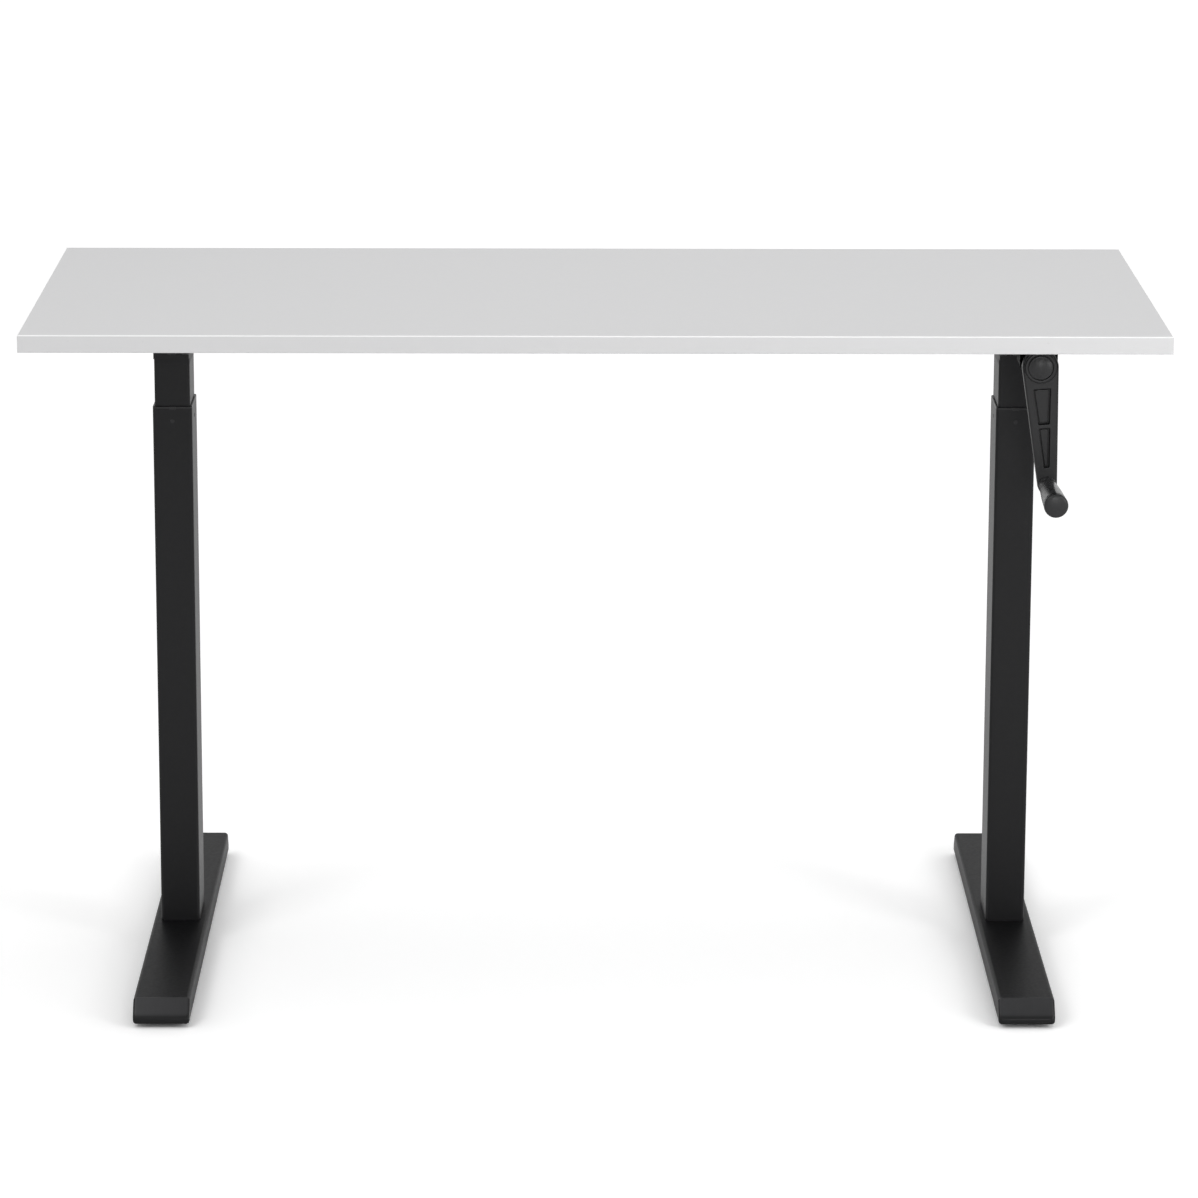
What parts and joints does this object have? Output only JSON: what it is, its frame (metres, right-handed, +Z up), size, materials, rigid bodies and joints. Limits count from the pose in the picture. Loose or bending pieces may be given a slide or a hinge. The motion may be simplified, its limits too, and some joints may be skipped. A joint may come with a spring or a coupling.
{
  "type": "height adjustable standing desk",
  "caption": "Rectangular desk on two telescopic columns with long feet, raised and lowered together by a hand crank under the front edge",
  "frame": {"origin": "on the floor, under the middle of the tabletop, with the desk at 860 mm", "axes": "+X along the desk to the user's right, -Y towards the user, +Z up"},
  "size_m": [1.4, 0.724, 0.86],
  "materials": {
    "white_board": "particle board faced with white melamine, fine satin grain",
    "white_band": "white plastic edging, satin",
    "black_steel": "black powder coat, fine satin",
    "black_plastic": "black moulded plastic, satin",
    "knob_plastic": "black moulded plastic, half gloss",
    "bare_steel": "zinc-plated steel",
    "bronze": "machined bearing bronze",
    "cast_housing": "cast aluminium, painted black",
    "pad_plastic": "hard black plastic pad on a steel stud"
  },
  "bodies": {
    "left_leg": {"left_foot_tube": "black_steel", "left_foot_cap_front": "black_plastic", "left_foot_cap_rear": "black_plastic", "left_outer_tube": "black_steel", "left_glide_bush": "black_plastic", "left_riser": "bare_steel", "left_lift_nut": "bronze", "left_foot_bolts": "bare_steel", "left_foot_inserts": "bare_steel"},
    "right_leg": {"right_foot_tube": "black_steel", "right_foot_cap_front": "black_plastic", "right_foot_cap_rear": "black_plastic", "right_outer_tube": "black_steel", "right_glide_bush": "black_plastic", "right_riser": "bare_steel", "right_lift_nut": "bronze", "right_foot_bolts": "bare_steel", "right_foot_inserts": "bare_steel"},
    "top_frame": {"tabletop_board": "white_board", "edge_band_front": "white_band", "edge_band_rear": "white_band", "edge_band_left": "white_band", "edge_band_right": "white_band", "board_screws": "bare_steel", "front_rail": "black_steel", "rear_rail": "black_steel", "frame_bolts": "bare_steel", "housing_bushes": "bronze", "crank_guide": "black_plastic", "left_inner_tube": "black_steel", "left_lower_glide": "black_plastic", "left_side_bracket": "black_steel", "left_gear_housing": "cast_housing", "left_housing_cover": "bare_steel", "right_inner_tube": "black_steel", "right_lower_glide": "black_plastic", "right_side_bracket": "black_steel", "right_gear_housing": "cast_housing", "right_housing_cover": "bare_steel"},
    "left_screw": {"left_lead_screw": "bare_steel", "left_screw_gear": "bare_steel"},
    "right_screw": {"right_lead_screw": "bare_steel", "right_screw_gear": "bare_steel"},
    "cross_shaft": {"cross_shaft": "bare_steel", "left_shaft_gear": "bare_steel", "right_shaft_gear": "bare_steel", "input_shaft_gear": "bare_steel"},
    "crank_tube": {"crank_tube": "bare_steel"},
    "crank_collar": {"crank_collar": "bare_steel"},
    "crank": {"crank_arm": "black_plastic", "hub_cap": "black_plastic", "crank_shaft": "bare_steel", "knob_pin": "bare_steel"},
    "knob": {"knob_sleeve": "knob_plastic", "knob_cap": "knob_plastic"},
    "left_front_leveller": {"left_front_leveller": "pad_plastic"},
    "left_rear_leveller": {"left_rear_leveller": "pad_plastic"},
    "right_front_leveller": {"right_front_leveller": "pad_plastic"},
    "right_rear_leveller": {"right_rear_leveller": "pad_plastic"}
  },
  "joints": [
    {"name": "desk_lift", "type": "slide", "parent": "left_leg", "child": "top_frame", "axis": [0, 0, 1], "range_m": [-0.06, 0.36]},
    {"name": "right_column_slide", "type": "slide", "parent": "top_frame", "child": "right_leg", "axis": [0, 0, 1], "range_m": [-0.36, 0.06]},
    {"name": "cross_shaft_turn", "type": "hinge", "parent": "top_frame", "child": "cross_shaft", "pos_m": [0, 0, 0.8], "axis": [1, 0, 0], "range_deg": [-4320, 25920]},
    {"name": "crank_tube_turn", "type": "hinge", "parent": "top_frame", "child": "crank_tube", "pos_m": [0.55, -0.1, 0.8], "axis": [0, 1, 0], "range_deg": [-4320, 25920]},
    {"name": "left_screw_turn", "type": "hinge", "parent": "top_frame", "child": "left_screw", "pos_m": [-0.535, 0, 0.5], "axis": [0, 0, 1], "range_deg": [-25920, 4320]},
    {"name": "right_screw_turn", "type": "hinge", "parent": "top_frame", "child": "right_screw", "pos_m": [0.535, 0, 0.5], "axis": [0, 0, 1], "range_deg": [-25920, 4320]},
    {"name": "crank_pull_out", "type": "slide", "parent": "top_frame", "child": "crank_collar", "axis": [0, -1, 0], "range_m": [0, 0.13]},
    {"name": "crank_swing", "type": "hinge", "parent": "crank_collar", "child": "crank", "pos_m": [0.55, -0.187, 0.8], "axis": [0, 1, 0], "range_deg": [-60, 60]},
    {"name": "knob_spin", "type": "hinge", "parent": "crank", "child": "knob", "pos_m": [0.56177, -0.25, 0.65046], "axis": [0, 1, 0], "continuous": true},
    {"name": "left_front_leveller_adjust", "type": "slide", "parent": "left_leg", "child": "left_front_leveller", "axis": [0, 0, 1], "range_m": [-0.012, 0]},
    {"name": "left_rear_leveller_adjust", "type": "slide", "parent": "left_leg", "child": "left_rear_leveller", "axis": [0, 0, 1], "range_m": [-0.012, 0]},
    {"name": "right_front_leveller_adjust", "type": "slide", "parent": "right_leg", "child": "right_front_leveller", "axis": [0, 0, 1], "range_m": [-0.012, 0]},
    {"name": "right_rear_leveller_adjust", "type": "slide", "parent": "right_leg", "child": "right_rear_leveller", "axis": [0, 0, 1], "range_m": [-0.012, 0]}
  ],
  "couplings": [
    {"joint": "right_column_slide", "follows": "desk_lift", "ratio": -1},
    {"joint": "cross_shaft_turn", "follows": "desk_lift", "rad_per_m": 1256.6},
    {"joint": "crank_tube_turn", "follows": "desk_lift", "rad_per_m": 1256.6},
    {"joint": "left_screw_turn", "follows": "desk_lift", "rad_per_m": -1256.6},
    {"joint": "right_screw_turn", "follows": "desk_lift", "rad_per_m": -1256.6}
  ]
}
